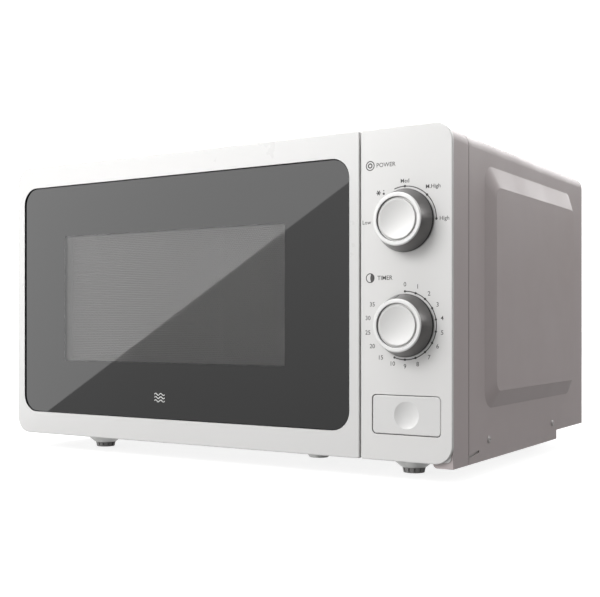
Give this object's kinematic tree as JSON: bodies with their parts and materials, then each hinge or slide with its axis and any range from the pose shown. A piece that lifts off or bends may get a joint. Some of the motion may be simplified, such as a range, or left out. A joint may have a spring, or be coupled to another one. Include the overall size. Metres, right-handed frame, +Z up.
{
  "type": "microwave oven",
  "caption": "Countertop microwave oven with a dark glazed swing door, two rotary dials, a push-button door release and a glass turntable in a steel cavity.",
  "frame": {"origin": "centre of the bounding box's base, on the floor under the feet", "axes": "+X to the right seen from the front, along the longest side; -Y out of the front face; +Z up"},
  "size_m": [0.45, 0.336, 0.2599],
  "materials": {
    "case_steel": "satin powder coat",
    "zinc_steel": "zinc plated",
    "cavity_enamel": "smooth enamel",
    "white_plastic": "satin gloss",
    "silver_plastic": "satin metallic paint",
    "grey_plastic": "matte",
    "black_plastic": "matte",
    "tinted_glass": "polished",
    "clear_glass": "polished",
    "film": "clear film",
    "dark_paint": "satin",
    "mica": "matte",
    "spring_steel": "bright",
    "laminations": "varnished",
    "aluminium": "plain",
    "foot_rubber": "matte",
    "board": "satin",
    "ceramic_white": "glazed"
  },
  "bodies": {
    "chassis": {"outer_case": "case_steel", "case_screws": "zinc_steel", "base_plate": "zinc_steel", "front_feet": "foot_rubber", "rear_feet": "foot_rubber", "rear_panel": "zinc_steel", "rear_spacers": "grey_plastic", "cord_gland": "black_plastic", "front_plate": "cavity_enamel", "cavity_wrapper": "cavity_enamel", "cavity_floor": "cavity_enamel", "cavity_back": "cavity_enamel", "waveguide": "zinc_steel", "waveguide_cover": "mica", "lamp_holder": "grey_plastic", "lamp_bulb": "clear_glass", "turntable_motor": "zinc_steel", "hinge_lower": "zinc_steel", "hinge_upper": "zinc_steel", "hinge_screws": "zinc_steel", "control_panel": "white_plastic", "power_switch": "black_plastic", "timer_unit": "zinc_steel", "button_spring": "spring_steel", "interlock_bracket": "white_plastic", "microswitches": "black_plastic", "magnetron": "aluminium", "magnetron_fins": "aluminium", "thermal_cutout": "ceramic_white", "transformer": "laminations", "hv_capacitor": "aluminium", "capacitor_clamp": "zinc_steel", "hv_diode": "black_plastic", "noise_filter_board": "board", "line_fuse": "ceramic_white", "fan_shroud": "black_plastic", "fan_motor": "laminations"},
    "door": {"door_frame": "white_plastic", "door_glass": "tinted_glass", "door_inner_frame": "dark_paint", "door_screen": "dark_paint", "door_choke_cover": "black_plastic", "door_inner_film": "film", "hook_spring": "spring_steel"},
    "latch_hook": {"door_hook": "white_plastic"},
    "power_dial": {"power_knob": "silver_plastic", "power_knob_insert": "silver_plastic", "power_shaft": "zinc_steel"},
    "timer_dial": {"timer_knob": "silver_plastic", "timer_knob_insert": "silver_plastic", "timer_shaft": "zinc_steel"},
    "button": {"release_button": "white_plastic"},
    "lever": {"button_lever": "grey_plastic"},
    "fan": {"fan_blade": "white_plastic"},
    "coupler": {"turntable_coupler": "grey_plastic"},
    "tray": {"glass_tray": "clear_glass"},
    "ring": {"roller_ring": "grey_plastic"},
    "wheel_1": {"roller_wheel_1": "grey_plastic"},
    "wheel_2": {"roller_wheel_2": "grey_plastic"},
    "wheel_3": {"roller_wheel_3": "grey_plastic"}
  },
  "joints": [
    {"name": "door_swing", "type": "hinge", "parent": "chassis", "child": "door", "pos_m": [-0.2095, -0.134, 0.137], "axis": [0, 0, -1], "range_deg": [0, 90]},
    {"name": "hook_lift", "type": "slide", "parent": "door", "child": "latch_hook", "axis": [0, 0, 1], "range_m": [0, 0.0035], "deforming": ["hook_spring"]},
    {"name": "power_turn", "type": "hinge", "parent": "chassis", "child": "power_dial", "pos_m": [0.1827, -0.154, 0.1907], "axis": [0, 1, 0], "range_deg": [-90, 90]},
    {"name": "timer_turn", "type": "hinge", "parent": "chassis", "child": "timer_dial", "pos_m": [0.1827, -0.154, 0.1141], "axis": [0, 1, 0], "range_deg": [0, 300]},
    {"name": "button_push", "type": "slide", "parent": "chassis", "child": "button", "axis": [0, 1, 0], "range_m": [0, 0.005], "stiffness_N_per_m": 400, "springref_m": -0.002},
    {"name": "lever_tilt", "type": "hinge", "parent": "chassis", "child": "lever", "pos_m": [0.15, -0.099, 0.0435], "axis": [-1, 0, 0], "range_deg": [0, 20.5]},
    {"name": "fan_spin", "type": "hinge", "parent": "chassis", "child": "fan", "pos_m": [0.165, 0.124, 0.19], "axis": [0, 1, 0], "continuous": true},
    {"name": "turntable_spin", "type": "hinge", "parent": "chassis", "child": "coupler", "pos_m": [-0.042, 0.00925, 0.045], "axis": [0, 0, 1], "continuous": true},
    {"name": "tray_lift", "type": "slide", "parent": "coupler", "child": "tray", "axis": [0, 0, 1], "range_m": [0, 0.02]},
    {"name": "ring_roll", "type": "hinge", "parent": "chassis", "child": "ring", "pos_m": [-0.042, 0.00925, 0.046], "axis": [0, 0, 1], "continuous": true},
    {"name": "wheel_1_spin", "type": "hinge", "parent": "ring", "child": "wheel_1", "pos_m": [-0.042, 0.10625, 0.046], "axis": [0, 1, 0], "continuous": true},
    {"name": "wheel_2_spin", "type": "hinge", "parent": "ring", "child": "wheel_2", "pos_m": [-0.126, -0.03925, 0.046], "axis": [-0.866, -0.5, 0], "continuous": true},
    {"name": "wheel_3_spin", "type": "hinge", "parent": "ring", "child": "wheel_3", "pos_m": [0.042, -0.03925, 0.046], "axis": [0.866, -0.5, 0], "continuous": true}
  ],
  "couplings": [
    {"joint": "lever_tilt", "follows": "button_push", "rad_per_m": 71.557},
    {"joint": "hook_lift", "follows": "button_push", "ratio": 0.7},
    {"joint": "ring_roll", "follows": "turntable_spin", "ratio": 0.5},
    {"joint": "wheel_1_spin", "follows": "turntable_spin", "ratio": -6.4667},
    {"joint": "wheel_2_spin", "follows": "turntable_spin", "ratio": -6.4667},
    {"joint": "wheel_3_spin", "follows": "turntable_spin", "ratio": -6.4667}
  ]
}
